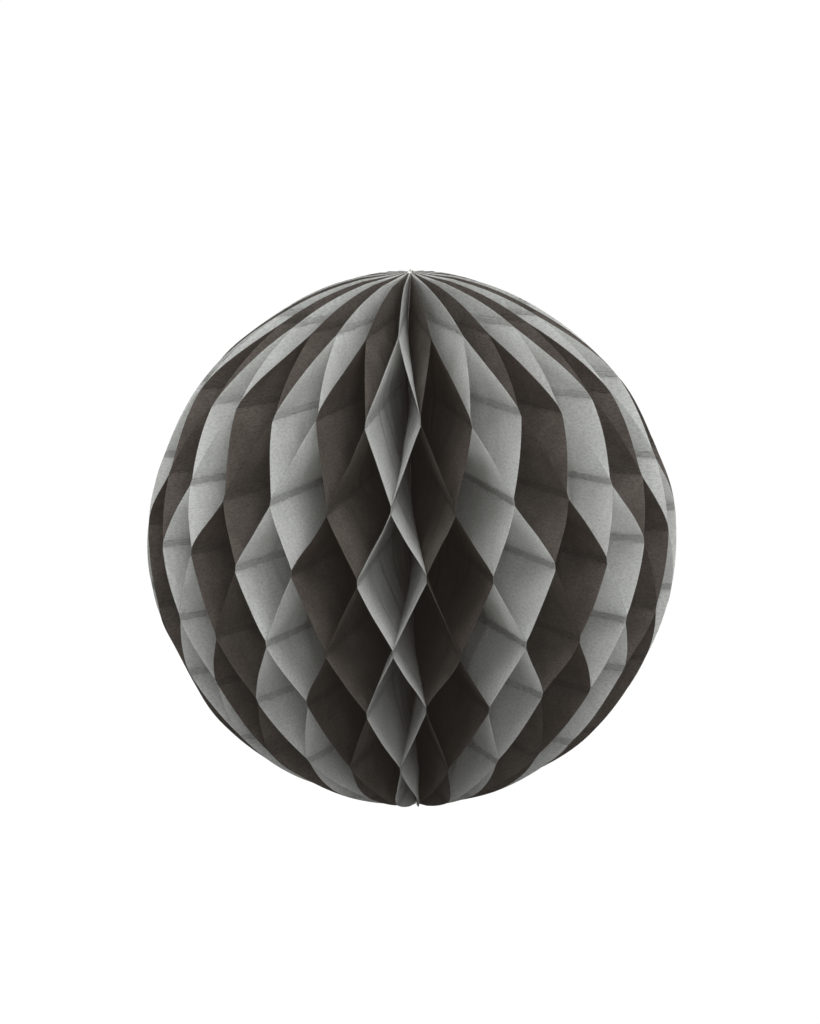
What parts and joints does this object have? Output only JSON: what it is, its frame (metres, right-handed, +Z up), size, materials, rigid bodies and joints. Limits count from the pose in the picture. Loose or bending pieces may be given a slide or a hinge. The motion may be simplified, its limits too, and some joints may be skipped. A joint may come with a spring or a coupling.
{
  "type": "paper honeycomb ball",
  "caption": "Round tissue decoration of glued leaves on a vertical spine thread, hung by its top knot; it folds flat like a fan between two card covers.",
  "frame": {"origin": "centre of the opened ball, half-way up the spine thread", "axes": "+Z up along the spine thread; -Y towards the front, opposite the seam where the two covers meet; +X to the right seen from the front"},
  "size_m": [0.1996, 0.1996, 0.2066],
  "materials": {
    "tissue_dark": "matte tissue",
    "tissue_grey": "matte tissue",
    "card": "matte",
    "pad": "matte",
    "thread": "twisted cotton"
  },
  "bodies": {
    "spine": {"cover_a": "card", "spine_thread": "thread", "top_knot": "thread", "bottom_knot": "thread", "pad_upper": "pad", "pad_lower": "pad"},
    "cover_b_fold": {"cover_b": "card"},
    "leaf_01_body": {"leaf_01": "tissue_dark"},
    "leaf_02_body": {"leaf_02": "tissue_grey"},
    "leaf_03_body": {"leaf_03": "tissue_grey"},
    "leaf_04_body": {"leaf_04": "tissue_dark"},
    "leaf_05_body": {"leaf_05": "tissue_dark"},
    "leaf_06_body": {"leaf_06": "tissue_grey"},
    "leaf_07_body": {"leaf_07": "tissue_grey"},
    "leaf_08_body": {"leaf_08": "tissue_dark"},
    "leaf_09_body": {"leaf_09": "tissue_dark"},
    "leaf_10_body": {"leaf_10": "tissue_grey"},
    "leaf_11_body": {"leaf_11": "tissue_grey"},
    "leaf_12_body": {"leaf_12": "tissue_dark"},
    "leaf_13_body": {"leaf_13": "tissue_dark"},
    "leaf_14_body": {"leaf_14": "tissue_grey"},
    "leaf_15_body": {"leaf_15": "tissue_grey"},
    "leaf_16_body": {"leaf_16": "tissue_dark"},
    "leaf_17_body": {"leaf_17": "tissue_dark"},
    "leaf_18_body": {"leaf_18": "tissue_grey"},
    "leaf_19_body": {"leaf_19": "tissue_grey"},
    "leaf_20_body": {"leaf_20": "tissue_dark"},
    "leaf_21_body": {"leaf_21": "tissue_dark"},
    "leaf_22_body": {"leaf_22": "tissue_grey"},
    "leaf_23_body": {"leaf_23": "tissue_grey"},
    "leaf_24_body": {"leaf_24": "tissue_dark"},
    "leaf_25_body": {"leaf_25": "tissue_dark"},
    "leaf_26_body": {"leaf_26": "tissue_grey"},
    "leaf_27_body": {"leaf_27": "tissue_grey"},
    "leaf_28_body": {"leaf_28": "tissue_dark"},
    "leaf_29_body": {"leaf_29": "tissue_dark"},
    "leaf_30_body": {"leaf_30": "tissue_grey"},
    "leaf_31_body": {"leaf_31": "tissue_grey"},
    "leaf_32_body": {"leaf_32": "tissue_dark"},
    "leaf_33_body": {"leaf_33": "tissue_dark"},
    "leaf_34_body": {"leaf_34": "tissue_grey"},
    "leaf_35_body": {"leaf_35": "tissue_grey"},
    "leaf_36_body": {"leaf_36": "tissue_dark"},
    "leaf_37_body": {"leaf_37": "tissue_dark"},
    "leaf_38_body": {"leaf_38": "tissue_grey"},
    "leaf_39_body": {"leaf_39": "tissue_grey"},
    "leaf_40_body": {"leaf_40": "tissue_dark"},
    "leaf_41_body": {"leaf_41": "tissue_dark"},
    "leaf_42_body": {"leaf_42": "tissue_grey"},
    "leaf_43_body": {"leaf_43": "tissue_grey"},
    "leaf_44_body": {"leaf_44": "tissue_dark"},
    "leaf_45_body": {"leaf_45": "tissue_dark"},
    "leaf_46_body": {"leaf_46": "tissue_grey"},
    "leaf_47_body": {"leaf_47": "tissue_grey"},
    "leaf_48_body": {"leaf_48": "tissue_dark"},
    "leaf_49_body": {"leaf_49": "tissue_dark"},
    "leaf_50_body": {"leaf_50": "tissue_grey"},
    "leaf_51_body": {"leaf_51": "tissue_grey"},
    "leaf_52_body": {"leaf_52": "tissue_dark"}
  },
  "joints": [
    {"name": "fan_fold", "type": "hinge", "parent": "spine", "child": "cover_b_fold", "pos_m": [0, 0, 0], "axis": [0, 0, 1], "range_deg": [-350, 0]},
    {"name": "leaf_01_turn", "type": "hinge", "parent": "spine", "child": "leaf_01_body", "pos_m": [0, 0, 0], "axis": [0, 0, 1], "range_deg": [-0.436, 0], "deforming": ["leaf_01"]},
    {"name": "leaf_02_turn", "type": "hinge", "parent": "spine", "child": "leaf_02_body", "pos_m": [0, 0, 0], "axis": [0, 0, 1], "range_deg": [-7.28, 0], "deforming": ["leaf_02"]},
    {"name": "leaf_03_turn", "type": "hinge", "parent": "spine", "child": "leaf_03_body", "pos_m": [0, 0, 0], "axis": [0, 0, 1], "range_deg": [-14.13, 0], "deforming": ["leaf_03"]},
    {"name": "leaf_04_turn", "type": "hinge", "parent": "spine", "child": "leaf_04_body", "pos_m": [0, 0, 0], "axis": [0, 0, 1], "range_deg": [-20.98, 0], "deforming": ["leaf_04"]},
    {"name": "leaf_05_turn", "type": "hinge", "parent": "spine", "child": "leaf_05_body", "pos_m": [0, 0, 0], "axis": [0, 0, 1], "range_deg": [-27.82, 0], "deforming": ["leaf_05"]},
    {"name": "leaf_06_turn", "type": "hinge", "parent": "spine", "child": "leaf_06_body", "pos_m": [0, 0, 0], "axis": [0, 0, 1], "range_deg": [-34.67, 0], "deforming": ["leaf_06"]},
    {"name": "leaf_07_turn", "type": "hinge", "parent": "spine", "child": "leaf_07_body", "pos_m": [0, 0, 0], "axis": [0, 0, 1], "range_deg": [-41.51, 0], "deforming": ["leaf_07"]},
    {"name": "leaf_08_turn", "type": "hinge", "parent": "spine", "child": "leaf_08_body", "pos_m": [0, 0, 0], "axis": [0, 0, 1], "range_deg": [-48.36, 0], "deforming": ["leaf_08"]},
    {"name": "leaf_09_turn", "type": "hinge", "parent": "spine", "child": "leaf_09_body", "pos_m": [0, 0, 0], "axis": [0, 0, 1], "range_deg": [-55.21, 0], "deforming": ["leaf_09"]},
    {"name": "leaf_10_turn", "type": "hinge", "parent": "spine", "child": "leaf_10_body", "pos_m": [0, 0, 0], "axis": [0, 0, 1], "range_deg": [-62.05, 0], "deforming": ["leaf_10"]},
    {"name": "leaf_11_turn", "type": "hinge", "parent": "spine", "child": "leaf_11_body", "pos_m": [0, 0, 0], "axis": [0, 0, 1], "range_deg": [-68.9, 0], "deforming": ["leaf_11"]},
    {"name": "leaf_12_turn", "type": "hinge", "parent": "spine", "child": "leaf_12_body", "pos_m": [0, 0, 0], "axis": [0, 0, 1], "range_deg": [-75.75, 0], "deforming": ["leaf_12"]},
    {"name": "leaf_13_turn", "type": "hinge", "parent": "spine", "child": "leaf_13_body", "pos_m": [0, 0, 0], "axis": [0, 0, 1], "range_deg": [-82.59, 0], "deforming": ["leaf_13"]},
    {"name": "leaf_14_turn", "type": "hinge", "parent": "spine", "child": "leaf_14_body", "pos_m": [0, 0, 0], "axis": [0, 0, 1], "range_deg": [-89.44, 0], "deforming": ["leaf_14"]},
    {"name": "leaf_15_turn", "type": "hinge", "parent": "spine", "child": "leaf_15_body", "pos_m": [0, 0, 0], "axis": [0, 0, 1], "range_deg": [-96.29, 0], "deforming": ["leaf_15"]},
    {"name": "leaf_16_turn", "type": "hinge", "parent": "spine", "child": "leaf_16_body", "pos_m": [0, 0, 0], "axis": [0, 0, 1], "range_deg": [-103.13, 0], "deforming": ["leaf_16"]},
    {"name": "leaf_17_turn", "type": "hinge", "parent": "spine", "child": "leaf_17_body", "pos_m": [0, 0, 0], "axis": [0, 0, 1], "range_deg": [-109.98, 0], "deforming": ["leaf_17"]},
    {"name": "leaf_18_turn", "type": "hinge", "parent": "spine", "child": "leaf_18_body", "pos_m": [0, 0, 0], "axis": [0, 0, 1], "range_deg": [-116.83, 0], "deforming": ["leaf_18"]},
    {"name": "leaf_19_turn", "type": "hinge", "parent": "spine", "child": "leaf_19_body", "pos_m": [0, 0, 0], "axis": [0, 0, 1], "range_deg": [-123.67, 0], "deforming": ["leaf_19"]},
    {"name": "leaf_20_turn", "type": "hinge", "parent": "spine", "child": "leaf_20_body", "pos_m": [0, 0, 0], "axis": [0, 0, 1], "range_deg": [-130.52, 0], "deforming": ["leaf_20"]},
    {"name": "leaf_21_turn", "type": "hinge", "parent": "spine", "child": "leaf_21_body", "pos_m": [0, 0, 0], "axis": [0, 0, 1], "range_deg": [-137.37, 0], "deforming": ["leaf_21"]},
    {"name": "leaf_22_turn", "type": "hinge", "parent": "spine", "child": "leaf_22_body", "pos_m": [0, 0, 0], "axis": [0, 0, 1], "range_deg": [-144.21, 0], "deforming": ["leaf_22"]},
    {"name": "leaf_23_turn", "type": "hinge", "parent": "spine", "child": "leaf_23_body", "pos_m": [0, 0, 0], "axis": [0, 0, 1], "range_deg": [-151.06, 0], "deforming": ["leaf_23"]},
    {"name": "leaf_24_turn", "type": "hinge", "parent": "spine", "child": "leaf_24_body", "pos_m": [0, 0, 0], "axis": [0, 0, 1], "range_deg": [-157.9, 0], "deforming": ["leaf_24"]},
    {"name": "leaf_25_turn", "type": "hinge", "parent": "spine", "child": "leaf_25_body", "pos_m": [0, 0, 0], "axis": [0, 0, 1], "range_deg": [-164.75, 0], "deforming": ["leaf_25"]},
    {"name": "leaf_26_turn", "type": "hinge", "parent": "spine", "child": "leaf_26_body", "pos_m": [0, 0, 0], "axis": [0, 0, 1], "range_deg": [-171.6, 0], "deforming": ["leaf_26"]},
    {"name": "leaf_27_turn", "type": "hinge", "parent": "spine", "child": "leaf_27_body", "pos_m": [0, 0, 0], "axis": [0, 0, 1], "range_deg": [-178.44, 0], "deforming": ["leaf_27"]},
    {"name": "leaf_28_turn", "type": "hinge", "parent": "spine", "child": "leaf_28_body", "pos_m": [0, 0, 0], "axis": [0, 0, 1], "range_deg": [-185.29, 0], "deforming": ["leaf_28"]},
    {"name": "leaf_29_turn", "type": "hinge", "parent": "spine", "child": "leaf_29_body", "pos_m": [0, 0, 0], "axis": [0, 0, 1], "range_deg": [-192.14, 0], "deforming": ["leaf_29"]},
    {"name": "leaf_30_turn", "type": "hinge", "parent": "spine", "child": "leaf_30_body", "pos_m": [0, 0, 0], "axis": [0, 0, 1], "range_deg": [-198.98, 0], "deforming": ["leaf_30"]},
    {"name": "leaf_31_turn", "type": "hinge", "parent": "spine", "child": "leaf_31_body", "pos_m": [0, 0, 0], "axis": [0, 0, 1], "range_deg": [-205.83, 0], "deforming": ["leaf_31"]},
    {"name": "leaf_32_turn", "type": "hinge", "parent": "spine", "child": "leaf_32_body", "pos_m": [0, 0, 0], "axis": [0, 0, 1], "range_deg": [-212.68, 0], "deforming": ["leaf_32"]},
    {"name": "leaf_33_turn", "type": "hinge", "parent": "spine", "child": "leaf_33_body", "pos_m": [0, 0, 0], "axis": [0, 0, 1], "range_deg": [-219.52, 0], "deforming": ["leaf_33"]},
    {"name": "leaf_34_turn", "type": "hinge", "parent": "spine", "child": "leaf_34_body", "pos_m": [0, 0, 0], "axis": [0, 0, 1], "range_deg": [-226.37, 0], "deforming": ["leaf_34"]},
    {"name": "leaf_35_turn", "type": "hinge", "parent": "spine", "child": "leaf_35_body", "pos_m": [0, 0, 0], "axis": [0, 0, 1], "range_deg": [-233.22, 0], "deforming": ["leaf_35"]},
    {"name": "leaf_36_turn", "type": "hinge", "parent": "spine", "child": "leaf_36_body", "pos_m": [0, 0, 0], "axis": [0, 0, 1], "range_deg": [-240.06, 0], "deforming": ["leaf_36"]},
    {"name": "leaf_37_turn", "type": "hinge", "parent": "spine", "child": "leaf_37_body", "pos_m": [0, 0, 0], "axis": [0, 0, 1], "range_deg": [-246.91, 0], "deforming": ["leaf_37"]},
    {"name": "leaf_38_turn", "type": "hinge", "parent": "spine", "child": "leaf_38_body", "pos_m": [0, 0, 0], "axis": [0, 0, 1], "range_deg": [-253.75, 0], "deforming": ["leaf_38"]},
    {"name": "leaf_39_turn", "type": "hinge", "parent": "spine", "child": "leaf_39_body", "pos_m": [0, 0, 0], "axis": [0, 0, 1], "range_deg": [-260.6, 0], "deforming": ["leaf_39"]},
    {"name": "leaf_40_turn", "type": "hinge", "parent": "spine", "child": "leaf_40_body", "pos_m": [0, 0, 0], "axis": [0, 0, 1], "range_deg": [-267.45, 0], "deforming": ["leaf_40"]},
    {"name": "leaf_41_turn", "type": "hinge", "parent": "spine", "child": "leaf_41_body", "pos_m": [0, 0, 0], "axis": [0, 0, 1], "range_deg": [-274.29, 0], "deforming": ["leaf_41"]},
    {"name": "leaf_42_turn", "type": "hinge", "parent": "spine", "child": "leaf_42_body", "pos_m": [0, 0, 0], "axis": [0, 0, 1], "range_deg": [-281.14, 0], "deforming": ["leaf_42"]},
    {"name": "leaf_43_turn", "type": "hinge", "parent": "spine", "child": "leaf_43_body", "pos_m": [0, 0, 0], "axis": [0, 0, 1], "range_deg": [-287.99, 0], "deforming": ["leaf_43"]},
    {"name": "leaf_44_turn", "type": "hinge", "parent": "spine", "child": "leaf_44_body", "pos_m": [0, 0, 0], "axis": [0, 0, 1], "range_deg": [-294.83, 0], "deforming": ["leaf_44"]},
    {"name": "leaf_45_turn", "type": "hinge", "parent": "spine", "child": "leaf_45_body", "pos_m": [0, 0, 0], "axis": [0, 0, 1], "range_deg": [-301.68, 0], "deforming": ["leaf_45"]},
    {"name": "leaf_46_turn", "type": "hinge", "parent": "spine", "child": "leaf_46_body", "pos_m": [0, 0, 0], "axis": [0, 0, 1], "range_deg": [-308.53, 0], "deforming": ["leaf_46"]},
    {"name": "leaf_47_turn", "type": "hinge", "parent": "spine", "child": "leaf_47_body", "pos_m": [0, 0, 0], "axis": [0, 0, 1], "range_deg": [-315.37, 0], "deforming": ["leaf_47"]},
    {"name": "leaf_48_turn", "type": "hinge", "parent": "spine", "child": "leaf_48_body", "pos_m": [0, 0, 0], "axis": [0, 0, 1], "range_deg": [-322.22, 0], "deforming": ["leaf_48"]},
    {"name": "leaf_49_turn", "type": "hinge", "parent": "spine", "child": "leaf_49_body", "pos_m": [0, 0, 0], "axis": [0, 0, 1], "range_deg": [-329.06, 0], "deforming": ["leaf_49"]},
    {"name": "leaf_50_turn", "type": "hinge", "parent": "spine", "child": "leaf_50_body", "pos_m": [0, 0, 0], "axis": [0, 0, 1], "range_deg": [-335.91, 0], "deforming": ["leaf_50"]},
    {"name": "leaf_51_turn", "type": "hinge", "parent": "spine", "child": "leaf_51_body", "pos_m": [0, 0, 0], "axis": [0, 0, 1], "range_deg": [-342.76, 0], "deforming": ["leaf_51"]},
    {"name": "leaf_52_turn", "type": "hinge", "parent": "spine", "child": "leaf_52_body", "pos_m": [0, 0, 0], "axis": [0, 0, 1], "range_deg": [-349.6, 0], "deforming": ["leaf_52"]}
  ],
  "couplings": [
    {"joint": "leaf_01_turn", "follows": "fan_fold", "ratio": 0.001187},
    {"joint": "leaf_02_turn", "follows": "fan_fold", "ratio": 0.020749},
    {"joint": "leaf_03_turn", "follows": "fan_fold", "ratio": 0.04031},
    {"joint": "leaf_04_turn", "follows": "fan_fold", "ratio": 0.059871},
    {"joint": "leaf_05_turn", "follows": "fan_fold", "ratio": 0.079432},
    {"joint": "leaf_06_turn", "follows": "fan_fold", "ratio": 0.098994},
    {"joint": "leaf_07_turn", "follows": "fan_fold", "ratio": 0.11855},
    {"joint": "leaf_08_turn", "follows": "fan_fold", "ratio": 0.13812},
    {"joint": "leaf_09_turn", "follows": "fan_fold", "ratio": 0.15768},
    {"joint": "leaf_10_turn", "follows": "fan_fold", "ratio": 0.17724},
    {"joint": "leaf_11_turn", "follows": "fan_fold", "ratio": 0.1968},
    {"joint": "leaf_12_turn", "follows": "fan_fold", "ratio": 0.21636},
    {"joint": "leaf_13_turn", "follows": "fan_fold", "ratio": 0.23592},
    {"joint": "leaf_14_turn", "follows": "fan_fold", "ratio": 0.25548},
    {"joint": "leaf_15_turn", "follows": "fan_fold", "ratio": 0.27504},
    {"joint": "leaf_16_turn", "follows": "fan_fold", "ratio": 0.29461},
    {"joint": "leaf_17_turn", "follows": "fan_fold", "ratio": 0.31417},
    {"joint": "leaf_18_turn", "follows": "fan_fold", "ratio": 0.33373},
    {"joint": "leaf_19_turn", "follows": "fan_fold", "ratio": 0.35329},
    {"joint": "leaf_20_turn", "follows": "fan_fold", "ratio": 0.37285},
    {"joint": "leaf_21_turn", "follows": "fan_fold", "ratio": 0.39241},
    {"joint": "leaf_22_turn", "follows": "fan_fold", "ratio": 0.41197},
    {"joint": "leaf_23_turn", "follows": "fan_fold", "ratio": 0.43154},
    {"joint": "leaf_24_turn", "follows": "fan_fold", "ratio": 0.4511},
    {"joint": "leaf_25_turn", "follows": "fan_fold", "ratio": 0.47066},
    {"joint": "leaf_26_turn", "follows": "fan_fold", "ratio": 0.49022},
    {"joint": "leaf_27_turn", "follows": "fan_fold", "ratio": 0.50978},
    {"joint": "leaf_28_turn", "follows": "fan_fold", "ratio": 0.52934},
    {"joint": "leaf_29_turn", "follows": "fan_fold", "ratio": 0.5489},
    {"joint": "leaf_30_turn", "follows": "fan_fold", "ratio": 0.56846},
    {"joint": "leaf_31_turn", "follows": "fan_fold", "ratio": 0.58803},
    {"joint": "leaf_32_turn", "follows": "fan_fold", "ratio": 0.60759},
    {"joint": "leaf_33_turn", "follows": "fan_fold", "ratio": 0.62715},
    {"joint": "leaf_34_turn", "follows": "fan_fold", "ratio": 0.64671},
    {"joint": "leaf_35_turn", "follows": "fan_fold", "ratio": 0.66627},
    {"joint": "leaf_36_turn", "follows": "fan_fold", "ratio": 0.68583},
    {"joint": "leaf_37_turn", "follows": "fan_fold", "ratio": 0.70539},
    {"joint": "leaf_38_turn", "follows": "fan_fold", "ratio": 0.72496},
    {"joint": "leaf_39_turn", "follows": "fan_fold", "ratio": 0.74452},
    {"joint": "leaf_40_turn", "follows": "fan_fold", "ratio": 0.76408},
    {"joint": "leaf_41_turn", "follows": "fan_fold", "ratio": 0.78364},
    {"joint": "leaf_42_turn", "follows": "fan_fold", "ratio": 0.8032},
    {"joint": "leaf_43_turn", "follows": "fan_fold", "ratio": 0.82276},
    {"joint": "leaf_44_turn", "follows": "fan_fold", "ratio": 0.84232},
    {"joint": "leaf_45_turn", "follows": "fan_fold", "ratio": 0.86188},
    {"joint": "leaf_46_turn", "follows": "fan_fold", "ratio": 0.88145},
    {"joint": "leaf_47_turn", "follows": "fan_fold", "ratio": 0.90101},
    {"joint": "leaf_48_turn", "follows": "fan_fold", "ratio": 0.92057},
    {"joint": "leaf_49_turn", "follows": "fan_fold", "ratio": 0.94013},
    {"joint": "leaf_50_turn", "follows": "fan_fold", "ratio": 0.95969},
    {"joint": "leaf_51_turn", "follows": "fan_fold", "ratio": 0.97925},
    {"joint": "leaf_52_turn", "follows": "fan_fold", "ratio": 0.99881}
  ]
}
